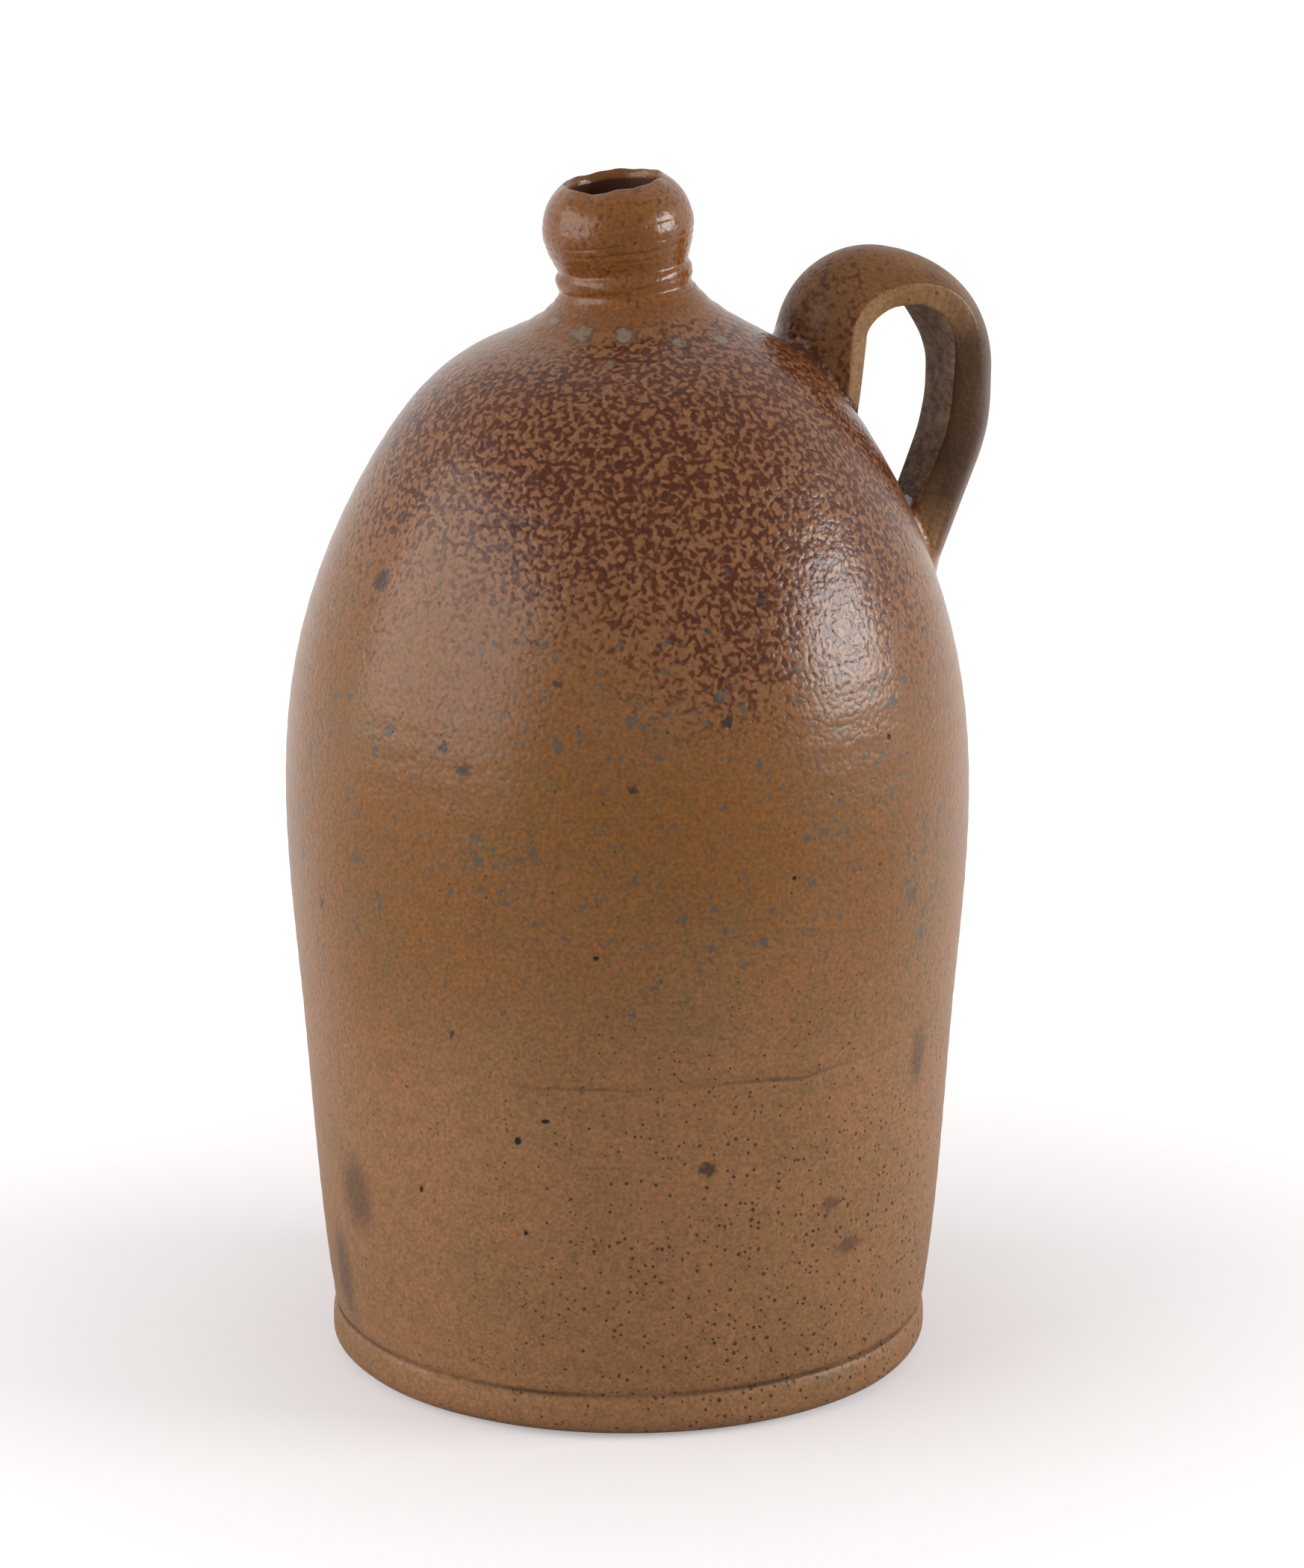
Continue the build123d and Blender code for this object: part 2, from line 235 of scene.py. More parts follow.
def smooth_through(points, start, end, count):
    """Points along a smooth curve through given points, with its directions at both ends."""
    points = np.array(points, float)
    spans = np.linalg.norm(np.diff(points, axis=0), axis=1)
    system = np.eye(len(points))
    slopes = np.zeros_like(points)
    slopes[0] = np.array(start) / np.linalg.norm(start)
    slopes[-1] = np.array(end) / np.linalg.norm(end)
    for here in range(1, len(points) - 1):
        before, after = spans[here - 1:here + 1]
        system[here, here - 1:here + 2] = (after, 2 * (before + after), before)
        rise = after / before * (points[here] - points[here - 1])
        slopes[here] = 3 * (rise + before / after * (points[here + 1] - points[here]))
    slopes = np.linalg.solve(system, slopes)
    knots = np.concatenate(([0.0], np.cumsum(spans)))
    along = np.linspace(0, knots[-1], count)
    span = np.clip(np.searchsorted(knots, along, side="right") - 1, 0, len(spans) - 1)
    length = spans[span][:, None]
    share = (along - knots[span])[:, None] / length
    rest = 1 - share
    ends = points[span] * (1 + 2 * share) * rest ** 2 + points[span + 1] * (1 + 2 * rest) * share ** 2
    return ends + length * share * rest * (slopes[span] * rest - slopes[span + 1] * share)


# The turns of the body's outline, as radius and height
outline = smooth_through(
    [
        (FOOT_RADIUS - 0.16 * FOOT_TUCK, slab_top - FOOT_TUCK),
        (FOOT_RADIUS, slab_top),
        (99.9, lower_seam),
        (103.7, lower_seam + 59),
        (101.2, upper_seam),
        (77.8, upper_seam + 66),
        (47.1, upper_seam + 101.4),
        (NECK_RADIUS, NECK_HEIGHT),
    ],
    start=(0.16, 1),
    end=(-0.7, 1),
    count=2400,
)
outline_run = np.concatenate(([0.0], np.cumsum(np.linalg.norm(np.diff(outline, axis=0), axis=1))))
outline_slope = np.gradient(outline, axis=0)
outline_out = np.stack((outline_slope[:, 1], -outline_slope[:, 0]), axis=1)
outline_out /= np.linalg.norm(outline_out, axis=1)[:, None]

LEAN_AZIMUTH = radians(160)
NECK_LEAN = tan(radians(6))
NECK_SHIFT = 0.6
LEAN_REACH = 98.0
LEAN_POWER = 4.7


def lean_share(radius):
    """How much the dome follows the leaning neck: wholly at the neck, and not at all at the belly."""
    return np.clip((LEAN_REACH - radius) / (LEAN_REACH - NECK_RADIUS), 0, 1) ** LEAN_POWER


def lean_drop(radius, azimuth):
    """How far the top of the dome has sunk towards the side to which the neck leans."""
    return -NECK_LEAN * lean_share(radius) * radius * np.cos(azimuth - LEAN_AZIMUTH)


THROWING_PITCH = 8.7
NECK_LINE_PITCH = 3.8
NECK_LINES_FROM = 316.0


def hand_relief(azimuth, height):
    """The unevenness that hands and wheel leave on the outside, outwards in millimetres."""
    slow = 0.45 * np.sin(2 * azimuth + 0.4 + height / 140) + 0.3 * np.sin(3 * azimuth + 1.9 - height / 75)
    quick = 0.12 * np.sin(5 * azimuth + height / 37) + 0.06 * np.sin(9 * azimuth - height / 21)
    wobble = 0.6 * np.sin(azimuth) + 0.5 * np.sin(2 * azimuth + 1)
    throwing = 0.035 * np.sin(2 * pi * height / THROWING_PITCH + wobble)
    seam_share = 0.35 + 0.65 * np.clip(np.cos(azimuth + radians(70)), 0, 1)
    seam = -0.22 * seam_share * np.exp(-((height - lower_seam) / 1.2) ** 2)
    over_foot = height - slab_top - seam_lift(azimuth)
    left_share = np.clip(np.cos(azimuth + radians(165)), 0, 1) ** 2
    second_crease = 0.35 * left_share * np.exp(-((over_foot - 6) / 1.2) ** 2)
    crease = -0.6 * np.exp(-over_foot ** 2) - second_crease
    neck_share = np.clip((height - NECK_LINES_FROM) / 8, 0, 1) * np.clip((NECK_HEIGHT - height) / 3, 0, 1)
    neck_lines = 0.14 * neck_share * np.sin(2 * pi * height / NECK_LINE_PITCH + 0.5 * np.sin(azimuth))
    fade = np.clip((NECK_HEIGHT - height) / 30, 0, 1)
    return fade * (slow + quick + throwing) + seam + crease + neck_lines


def body_ring(name, low, high):
    """A ring of the body between two heights, with its inner skin a wall's thickness inside."""
    low_run, high_run = np.interp((low, high), outline[:, 1], outline_run)
    row_count = int(high_run - low_run) + 1
    outer_run = np.linspace(low_run, high_run, row_count)
    inner_run = np.linspace(high_run, low_run, row_count // 6)
    run = np.concatenate((outer_run, inner_run))
    radius, height = (np.interp(run, outline_run, outline[:, axis])[:, None] for axis in (0, 1))
    out_radius, out_height = (np.interp(run, outline_run, outline_out[:, axis])[:, None] for axis in (0, 1))
    move = hand_relief(turn, height)
    move[row_count:] = -WALL + 0.3 * np.sin(2 * pi * height[row_count:] / 11)
    radius = radius + out_radius * move
    height = height + out_height * move
    if high == NECK_HEIGHT:
        throat = radius[row_count:row_count + 1]
        radius = np.insert(radius, row_count, throat, axis=0)
        height = np.insert(height, row_count, NECK_HEIGHT, axis=0)
    rings = turned_rings(radius, height + lean_drop(radius, turn))
    rings[..., 0] += NECK_SHIFT * lean_share(radius) * cos(LEAN_AZIMUTH)
    rings[..., 1] += NECK_SHIFT * lean_share(radius) * sin(LEAN_AZIMUTH)
    piece = turned_piece(name, rings, closed=True)
    inside = np.zeros((len(rings), AROUND), int)
    inside[row_count - 1:] = 1
    piece.data.polygons.foreach_set("material_index", inside.ravel())
    return piece


def strayed(tree, place, spacing, detail, reach):
    """The place of each point, moved about by a noise of a spacing and a reach in millimetres."""
    noise = add_node(tree, "TexNoise", {"Vector": place, "Scale": 1 / spacing, "Detail": detail}, out=1)
    centred = add_node(tree, "VectorMath", {0: noise, 1: (0.5, 0.5, 0.5)}, operation="SUBTRACT")
    moved = {0: centred, 1: (reach, reach, reach), 2: place}
    return add_node(tree, "VectorMath", moved, operation="MULTIPLY_ADD")


def scattered_dots(tree, place, spacing, channel, chance, sizes, edge, strength, share=1.0):
    """Dots in cells of a spacing in millimetres, each of a size that its cell's chance and the share give.

    Sizes are in cells, and a cell whose chance is low has none. The edge says where a dot fades in."""
    cells = add_node(tree, "TexVoronoi", {"Vector": place, "Scale": 1 / spacing}, out=None, feature="F1")
    luck = add_node(tree, "SeparateColor", {0: cells.outputs["Color"]}, out=channel)
    size = add_node(tree, "MapRange", {0: luck, 1: chance, 2: 1.0, 3: sizes[0], 4: sizes[1]})
    reach = add_node(tree, "Math", {0: size, 1: share}, operation="MULTIPLY")
    depth = add_node(tree, "Math", {0: reach, 1: cells.outputs["Distance"]}, operation="SUBTRACT")
    return add_node(tree, "MapRange", {0: depth, 1: edge[0], 2: edge[1], 4: strength})


def run_towards(tree, place, azimuth, across=1.0, up=0.0):
    """How far a point lies towards an azimuth in degrees, plus a share of its height, in millimetres."""
    direction = (across * cos(radians(azimuth)), across * sin(radians(azimuth)), up)
    return add_node(tree, "VectorMath", {0: place, 1: direction}, out="Value", operation="DOT_PRODUCT")


def salt_skin(tree, place, ground, bead_colour, netting):
    """Salt glaze over a ground colour, with its brown net where netting is high.

    Salt vapour gathers in pale, worm-like beads 2 to 3 mm wide and leaves a red-brown net between them,
    which breaks up and closes where the salt is scarce. Pinholes dot the beads, and an orange peel of
    shallow domes less than 2 mm across breaks up the shine. Gives the colour, and the height in mm."""
    drifted = strayed(tree, place, spacing=2.4, detail=1.0, reach=1.8)
    worms = add_node(tree, "TexNoise", {"Vector": drifted, "Scale": 1 / 1.65, "Detail": 0.0})
    drops = {"Vector": drifted, "Scale": 1 / 3.5, "Randomness": 0.85}
    from_edge = add_node(tree, "TexVoronoi", drops, feature="DISTANCE_TO_EDGE")
    from_middle = add_node(tree, "TexVoronoi", drops, feature="F1")
    within = add_node(tree, "Math", {0: from_middle, 1: -0.4, 2: from_edge}, operation="MULTIPLY_ADD")
    bead_edge = add_node(tree, "MapRange", {0: netting, 3: 0.2, 4: 0.99})
    bead_reach = add_node(tree, "Math", {0: worms, 1: 2.0, 2: within}, operation="MULTIPLY_ADD")
    bead_depth = add_node(tree, "Math", {0: bead_reach, 1: bead_edge}, operation="SUBTRACT")
    bead = add_node(tree, "MapRange", {0: bead_depth, 1: -0.3, 2: 0.3}, interpolation_type="SMOOTHSTEP")
    blotch = add_node(tree, "TexNoise", {"Vector": place, "Scale": 1 / 10, "Detail": 3.0})
    deep_net = add_node(
        tree, "Mix", {0: blotch, 6: linear("#411C0B"), 7: linear("#582A12")}, out=2, data_type="RGBA",
    )
    net_share = add_node(
        tree, "MapRange", {0: netting, 1: 0.1, 2: 0.95, 3: 0.1}, interpolation_type="SMOOTHSTEP",
    )
    net = add_node(tree, "Mix", {0: net_share, 6: ground, 7: deep_net}, out=2, data_type="RGBA")
    beaded = add_node(tree, "Mix", {0: netting, 6: ground, 7: bead_colour}, out=2, data_type="RGBA")
    colour = add_node(tree, "Mix", {0: bead, 6: net, 7: beaded}, out=2, data_type="RGBA")
    speckle = add_node(tree, "TexNoise", {"Vector": place, "Scale": 1 / 1.2, "Detail": 3.0})
    fleck = add_node(tree, "MapRange", {0: speckle, 1: 0.3, 2: 0.72, 3: 0.74, 4: 1.26})
    flecked = add_node(tree, "VectorMath", {0: colour, "Scale": fleck}, operation="SCALE")
    pin = scattered_dots(
        tree, drifted, spacing=3.0, channel=1, chance=0.3,
        sizes=(-0.05, 0.15), edge=(-0.07, 0.03), strength=0.65,
    )
    pinned = add_node(tree, "Mix", {0: pin, 6: flecked, 7: linear("#2A1A10")}, out=2, data_type="RGBA")
    domes = add_node(
        tree, "TexVoronoi", {"Vector": place, "Scale": 1 / 1.7, "Smoothness": 0.7}, feature="SMOOTH_F1",
    )
    domes = add_node(tree, "Math", {0: domes, 1: domes}, operation="MULTIPLY")
    ripple = add_node(tree, "TexNoise", {"Vector": place, "Scale": 1 / 1.1, "Detail": 1.0})
    rippled = add_node(tree, "Math", {0: ripple, 1: 0.025}, operation="MULTIPLY")
    domed = add_node(tree, "Math", {0: domes, 1: -0.14, 2: rippled}, operation="MULTIPLY_ADD")
    bead_rise = add_node(tree, "Math", {0: bead, 1: netting}, operation="MULTIPLY")
    skin = add_node(tree, "Math", {0: bead_rise, 1: 0.06, 2: domed}, operation="MULTIPLY_ADD")
    holed = add_node(tree, "Math", {0: pin, 1: -0.14, 2: skin}, operation="MULTIPLY_ADD")
    return pinned, holed


def spots_mask(tree, place, spots, soft):
    """Where listed spots lie, each given as azimuth, height, width and height in millimetres."""
    nearest = None
    for azimuth, high, across, tall in spots:
        radius = np.interp(high, outline[:, 1], outline[:, 0])
        centre = np.array((radius * cos(radians(azimuth)), radius * sin(radians(azimuth)), high))
        centre[2] += lean_drop(radius, radians(azimuth))
        size = np.array((2 / across, 2 / across, 2 / tall))
        away = add_node(
            tree, "VectorMath",
            {0: place, 1: size.tolist(), 2: (-centre * size).tolist()},
            operation="MULTIPLY_ADD",
        )
        length = add_node(tree, "VectorMath", {0: away}, out="Value", operation="LENGTH")
        if nearest is None:
            nearest = length
        else:
            nearest = add_node(tree, "Math", {0: nearest, 1: length}, operation="MINIMUM")
    return add_node(
        tree, "MapRange", {0: nearest, 1: 1 + soft, 2: 1 - soft}, interpolation_type="SMOOTHSTEP",
    )


# Salt glaze over brown stoneware: glassy and netted with brown on the shoulder, where most of the salt
# settled, golden brown under it, and thinner, duller and tan towards the foot, with ash and iron spots.
body_glaze, tree, place = new_material("salt glaze over brown stoneware")
height = add_node(tree, "SeparateXYZ", {0: place}, out=2)
cloud = add_node(tree, "TexNoise", {"Vector": place, "Scale": 1 / 55, "Detail": 4.0})
drifted = add_node(tree, "Math", {0: cloud, 1: 90.0, 2: height}, operation="MULTIPLY_ADD")
low_share = add_node(tree, "MapRange", {0: drifted, 1: 235.0, 2: 130.0}, interpolation_type="SMOOTHSTEP")
warm = add_node(
    tree, "Mix", {0: low_share, 6: linear("#7E5022"), 7: linear("#8F6440")}, out=2, data_type="RGBA",
)
ash_cloud = add_node(tree, "TexNoise", {"Vector": place, "Scale": 1 / 34, "Detail": 5.0})
ashen = add_node(
    tree, "MapRange", {0: ash_cloud, 1: 0.42, 2: 0.7, 4: 0.28}, interpolation_type="SMOOTHSTEP",
)
tinged = add_node(tree, "Mix", {0: ashen, 6: warm, 7: linear("#6C5836")}, out=2, data_type="RGBA")
mottle = add_node(tree, "TexNoise", {"Vector": place, "Scale": 1 / 4.5, "Detail": 4.0, "Roughness": 0.6})
olive = add_node(
    tree, "MapRange", {0: mottle, 1: 0.44, 2: 0.68, 4: 0.32}, interpolation_type="SMOOTHSTEP",
)
mottled = add_node(tree, "Mix", {0: olive, 6: tinged, 7: linear("#64532F")}, out=2, data_type="RGBA")
NECK_DARK = "#62360E"
NECK_LIGHT = "#7E4B20"
neck_brown = add_node(
    tree, "Mix", {0: cloud, 6: linear(NECK_DARK), 7: linear(NECK_LIGHT)}, out=2, data_type="RGBA",
)
near_neck = add_node(tree, "MapRange", {0: height, 1: 300.0, 2: 322.0}, interpolation_type="SMOOTHSTEP")
ground = add_node(tree, "Mix", {0: near_neck, 6: mottled, 7: neck_brown}, out=2, data_type="RGBA")
# The net is thickest over the front of the shoulder and towards the handle, and stops short of the neck
facing = run_towards(tree, place, -85)
facing_rise = add_node(tree, "Math", {0: facing, 1: 0.32, 2: drifted}, operation="MULTIPLY_ADD")
thick_salt = add_node(
    tree, "MapRange", {0: facing_rise, 1: 252.0, 2: 342.0}, interpolation_type="SMOOTHSTEP",
)
neck_side = run_towards(tree, place, -60, across=-0.25, up=1.0)
under_neck = add_node(
    tree, "MapRange", {0: neck_side, 1: 327.0, 2: 312.0, 3: 0.2}, interpolation_type="SMOOTHSTEP",
)
netting = add_node(tree, "Math", {0: thick_salt, 1: under_neck}, operation="MULTIPLY")
bead_colour = add_node(
    tree, "Mix", {0: ash_cloud, 6: linear("#7E5030"), 7: linear("#855A3B")}, out=2, data_type="RGBA",
)
colour, skin = salt_skin(tree, place, ground, bead_colour, netting)
# Places with ragged edges, for the flecks and marks
rough_place = strayed(tree, place, spacing=2.6, detail=2.0, reach=4.5)
# Ash drawn through the kiln with the flame leaves blue-grey flecks of 1 to 4 mm over the belly
belly = add_node(tree, "Math", {0: height, 1: 195.0}, operation="SUBTRACT")
belly_away = add_node(tree, "Math", {0: belly}, operation="ABSOLUTE")
belly_share = add_node(tree, "MapRange", {0: belly_away, 1: 95.0, 2: 40.0})
ash_swarm = add_node(tree, "MapRange", {0: ash_cloud, 1: 0.38, 2: 0.6, 3: 0.7, 4: 1.2})
belly_share = add_node(tree, "Math", {0: belly_share, 1: ash_swarm}, operation="MULTIPLY")
for fleck_spacing, fleck_reach in ((6.5, 0.3), (3.6, 0.32), (2.2, 0.28)):
    ash_fleck = scattered_dots(
        tree, rough_place, fleck_spacing, channel=0, chance=0.2,
        sizes=(-0.06, fleck_reach), edge=(-0.05, 0.05), strength=0.66, share=belly_share,
    )
    colour = add_node(
        tree, "Mix", {0: ash_fleck, 6: colour, 7: linear("#4A4B45")}, out=2, data_type="RGBA",
    )
# Gas that left the clay late has dotted the lower wall with pinholes of about half a millimetre, drawn a
# little larger so that they show, most of them towards the handle
hole_side = run_towards(tree, place, -65)
hole_side = add_node(tree, "MapRange", {0: hole_side, 1: 15.0, 2: 75.0, 3: 0.3})
hole_low = add_node(tree, "MapRange", {0: height, 1: 170.0, 2: 70.0, 3: 0.25})
hole_share = add_node(tree, "Math", {0: hole_side, 1: hole_low}, operation="MULTIPLY")
hole = scattered_dots(
    tree, place, spacing=2.1, channel=0, chance=0.05,
    sizes=(0.0, 0.33), edge=(-0.05, 0.04), strength=0.8, share=hole_share,
)
colour = add_node(tree, "Mix", {0: hole, 6: colour, 7: linear("#281A10")}, out=2, data_type="RGBA")
skin = add_node(tree, "Math", {0: hole, 1: -0.2, 2: skin}, operation="MULTIPLY_ADD")
# The lower luting seam shows as a thin broken line across the front
seam_wave = add_node(tree, "TexNoise", {"Vector": place, "Scale": 1 / 24, "Detail": 2.0})
seam_level = add_node(tree, "Math", {0: seam_wave, 1: 5.0, 2: height}, operation="MULTIPLY_ADD")
seam_away = add_node(tree, "Math", {0: seam_level, 1: lower_seam + 2.5}, operation="SUBTRACT")
seam_away = add_node(tree, "Math", {0: seam_away}, operation="ABSOLUTE")
seam_line = add_node(tree, "MapRange", {0: seam_away, 1: 0.8, 2: 0.3})
seam_side = run_towards(tree, place, -100)
seam_side = add_node(tree, "MapRange", {0: seam_side, 1: 82.0, 2: 94.0})
seam_break = add_node(tree, "MapRange", {0: ash_cloud, 1: 0.36, 2: 0.56, 3: 0.1, 4: 0.55})
seam_side = add_node(tree, "Math", {0: seam_side, 1: seam_break}, operation="MULTIPLY")
seam_line = add_node(tree, "Math", {0: seam_line, 1: seam_side}, operation="MULTIPLY")
colour = add_node(tree, "Mix", {0: seam_line, 6: colour, 7: linear("#3A2618")}, out=2, data_type="RGBA")
# Painted shade darkens the crease over the foot, with some dirt in it, here more and there less
foot_dip = run_towards(tree, place, degrees(FRONT), across=SEAM_DIP / FOOT_RADIUS, up=1.0)
foot_away = add_node(tree, "Math", {0: foot_dip, 1: slab_top + SEAM_RISE}, operation="SUBTRACT")
foot_away = add_node(tree, "Math", {0: foot_away}, operation="ABSOLUTE")
foot_crease_shade = add_node(tree, "MapRange", {0: foot_away, 1: 1.3, 2: 0.2})
# How much painted shade and dirt lie along the crease, varying round the foot
crease_shade_and_dirt = add_node(tree, "MapRange", {0: seam_wave, 1: 0.35, 2: 0.65, 3: 0.25, 4: 0.75})
foot_crease_shade = add_node(tree, "Math", {0: foot_crease_shade, 1: crease_shade_and_dirt}, operation="MULTIPLY")
colour = add_node(tree, "Mix", {0: foot_crease_shade, 6: colour, 7: linear("#2E1D12")}, out=2, data_type="RGBA")
# Marks with ragged edges: azimuth from the handle in degrees, height, width and height in millimetres
ash_drops = [
    (-138, 324, 6.5, 8.5), (-112, 323.5, 6, 6.5), (-168, 326, 4, 5), (-122, 329, 2, 2),
    (-117, 317.5, 3, 2.5), (-84, 321, 4.5, 3), (-59, 319.5, 4.5, 5), (-20, 318, 4, 4),
    (30, 322, 5, 4), (105, 321, 4, 4),
]
iron_spots = [
    (-164, 255, 6, 7), (-138, 207, 4, 5), (-142, 213, 3, 4), (-122, 234, 4, 3), (-84, 255, 4, 4),
    (-93, 223, 4, 4), (-109, 205, 3, 3), (-96, 87, 5, 4), (-172, 155, 3, 4), (-141, 126, 2, 3),
    (20, 190, 5, 6), (75, 240, 5, 5), (120, 150, 6, 4), (150, 215, 4, 5),
]
smudges = [
    (-48, 107, 9, 18), (-66, 54, 12, 4), (-71, 69, 7, 5), (-168, 64, 16, 22), (-178, 34, 12, 26),
    (95, 80, 14, 18),
]
pits = [
    (-61, 211, 1.6, 1.4), (-115, 154, 1.8, 1.2), (-82, 175, 1.4, 1.4), (-128, 66, 1.4, 1.8),
    (-149, 74, 1.4, 2.2), (-124, 102, 2.4, 1.2), (-129, 95, 2.0, 2.4), (-129, 42, 1.2, 1.6),
    (-135, 17, 1.0, 3.6), (60, 130, 1.8, 1.6),
]
drop = spots_mask(tree, rough_place, ash_drops, 0.5)
iron = spots_mask(tree, rough_place, iron_spots, 0.35)
smudge = spots_mask(tree, rough_place, smudges, 0.6)
pit = spots_mask(tree, place, pits, 0.3)
smudge_share = add_node(tree, "Math", {0: smudge, 1: 0.55}, operation="MULTIPLY")
colour = add_node(
    tree, "Mix", {0: smudge_share, 6: colour, 7: linear("#3E2A22")}, out=2, data_type="RGBA",
)
iron_share = add_node(tree, "Math", {0: iron, 1: 0.8}, operation="MULTIPLY")
colour = add_node(tree, "Mix", {0: iron_share, 6: colour, 7: linear("#2C2020")}, out=2, data_type="RGBA")
streaky = add_node(tree, "MapRange", {0: mottle, 1: 0.35, 2: 0.6, 3: 0.5, 4: 0.95})
drop_share = add_node(tree, "Math", {0: drop, 1: streaky}, operation="MULTIPLY")
colour = add_node(tree, "Mix", {0: drop_share, 6: colour, 7: linear("#7B6E5C")}, out=2, data_type="RGBA")
rim_dirt = add_node(tree, "Math", {0: 1.0, 1: drop}, operation="SUBTRACT")
rim_dirt = add_node(tree, "Math", {0: rim_dirt, 1: drop}, operation="MULTIPLY")
rim_dirt = add_node(tree, "MapRange", {0: rim_dirt, 1: 0.1, 2: 0.25, 4: 0.5})
colour = add_node(tree, "Mix", {0: rim_dirt, 6: colour, 7: linear("#3A281C")}, out=2, data_type="RGBA")
colour = add_node(tree, "Mix", {0: pit, 6: colour, 7: linear("#17100C")}, out=2, data_type="RGBA")
skin = add_node(tree, "Math", {0: pit, 1: -0.5, 2: skin}, operation="MULTIPLY_ADD")
skin = add_node(tree, "Math", {0: drop, 1: 0.12, 2: skin}, operation="MULTIPLY_ADD")
dull = add_node(tree, "MapRange", {0: drifted, 1: 150.0, 2: 290.0, 3: 0.46, 4: 0.24})
fired_surface(tree, colour, dull, skin, shine=0.32)

# The glaze runs down over the slab's edge too
edge_rows = np.arange(len(slab_rings) - 1) > len(flat_radii) + 3
base_slab.data.materials.append(body_glaze)
edge_faces = np.append(np.repeat(edge_rows.astype(int), AROUND), (0, 0))
base_slab.data.polygons.foreach_set("material_index", edge_faces)

lower_wall = body_ring("lower_wall_clay", slab_top - FOOT_TUCK, lower_seam)
lower_wall.data.materials.append(body_glaze)
lower_wall.data.materials.append(liner)
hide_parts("lower_wall")
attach(lower_wall, "root")

# Belly wall: the widest ring, thrown on its own and luted on to the first while leather-hard. The seam
# was wiped flush, and the same glaze runs over it.
belly_wall = body_ring("belly_wall_clay", lower_seam, upper_seam)
belly_wall.data.materials.append(body_glaze)
belly_wall.data.materials.append(liner)
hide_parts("belly_wall")
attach(belly_wall, "root")

# Shoulder dome: the ring that was collared in to close the top. It sank a little towards one side with
# the neck before firing, and took the thickest glaze.
shoulder_dome = body_ring("shoulder_dome_clay", upper_seam, NECK_HEIGHT)
shoulder_dome.data.materials.append(body_glaze)
shoulder_dome.data.materials.append(liner)
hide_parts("shoulder_dome")
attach(shoulder_dome, "root")

# Neck collar: a small ring of clay turned round the base of the neck. The dome flares into its foot, and a
# soft valley, where the turner's rib ran, parts it from the bead.
MOUTH_BORE = 13.5
COLLAR_HEIGHT = 8.2
bore = next(mount for mount in frame["record"]["mounts"] if mount["name"] == "mouth")
neck_turn = np.array(Vector((0, 0, 1)).rotation_difference(Vector(bore["axis"])).to_matrix())
neck_seat = np.array(bore["pos_m"]) / MM - np.array(bore["axis"]) * bore["dims"]["length_mm"] / 2


def neck_rings(radii, heights):
    """Rings round the leaning axis of the neck, with heights from its seat on the dome."""
    return turned_rings(radii, heights) @ neck_turn.T + neck_seat


collar_line = smooth_through(
    [
        (21.7, -1.2), (NECK_RADIUS, 0.0), (20.2, 0.9), (19.9, 1.9), (20.2, 3.1),
        (20.6, 4.9), (20.3, 6.8), (19.6, COLLAR_HEIGHT),
    ],
    start=(-0.7, 1),
    end=(-0.1, 1),
    count=45,
)
collar_radii, collar_rise = (collar_line[:, axis][:, None] for axis in (0, 1))
groove_rise = 3.6 + 1.5 * np.sin(turn + radians(102))
collar_waves = 0.16 * np.sin(3 * turn + 1.0) + 0.1 * np.sin(7 * turn + collar_rise)
collar_waves = collar_waves - 0.16 * np.exp(-((collar_rise - groove_rise) / 0.7) ** 2)
collar_radii = collar_radii + collar_waves * np.sin(pi * np.clip(collar_rise, 0, None) / COLLAR_HEIGHT)
collar_rings = np.concatenate((
    neck_rings(collar_radii, collar_rise),
    neck_rings(np.full((2, AROUND), MOUTH_BORE), np.array([[COLLAR_HEIGHT], [-1.2]])),
))
neck_collar = turned_piece("neck_collar_clay", collar_rings, closed=True)

# Salt glaze on the neck: close to the flame, so smooth, glossy and orange-brown with fine dark specks,
# and more faintly netted than the shoulder.
neck_glaze, tree, place = new_material("orange-brown salt glaze")
cloud = add_node(tree, "TexNoise", {"Vector": place, "Scale": 1 / 12, "Detail": 3.0})
ground = add_node(
    tree, "Mix", {0: cloud, 6: linear(NECK_DARK), 7: linear(NECK_LIGHT)}, out=2, data_type="RGBA",
)
netting = add_node(tree, "MapRange", {0: cloud, 1: 0.35, 2: 0.7, 3: 0.25, 4: 0.62})
colour, skin = salt_skin(tree, place, ground, linear("#85521F"), netting)
speck = scattered_dots(
    tree, place, spacing=2.2, channel=0, chance=0.5,
    sizes=(-0.05, 0.17), edge=(-0.06, 0.04), strength=0.7,
)
colour = add_node(tree, "Mix", {0: speck, 6: colour, 7: linear("#241208")}, out=2, data_type="RGBA")
skin = add_node(tree, "Math", {0: speck, 1: -0.15, 2: skin}, operation="MULTIPLY_ADD")
fired_surface(tree, colour, 0.24, skin, shine=0.4)

neck_collar.data.materials.append(neck_glaze)
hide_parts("neck_collar")
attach(neck_collar, "root")

# Mouth bead: the rounded lip, turned with a rib that left fine lines round it, two of them plain to see.
# Its rim is wavy and worn, with a dip chipped out of the front.
RIM_RISE = 34.0
bead_line = smooth_through(
    [
        (19.6, COLLAR_HEIGHT), (19.9, 9.3), (20.5, 10.8), (21.3, 12.9), (22.2, 15.9), (22.7, 19.3),
        (22.2, 23.6), (20.5, 28.2), (18.0, 31.6), (15.7, RIM_RISE - 0.5), (14.7, RIM_RISE),
    ],
    start=(0.1, 1),
    end=(-1, 0.1),
    count=120,
)
lip_line = smooth_through(
    [(14.7, RIM_RISE), (13.9, RIM_RISE - 0.9), (13.5, RIM_RISE - 4), (MOUTH_BORE, COLLAR_HEIGHT)],
    start=(-1, -0.1),
    end=(0, -1),
    count=30,
)
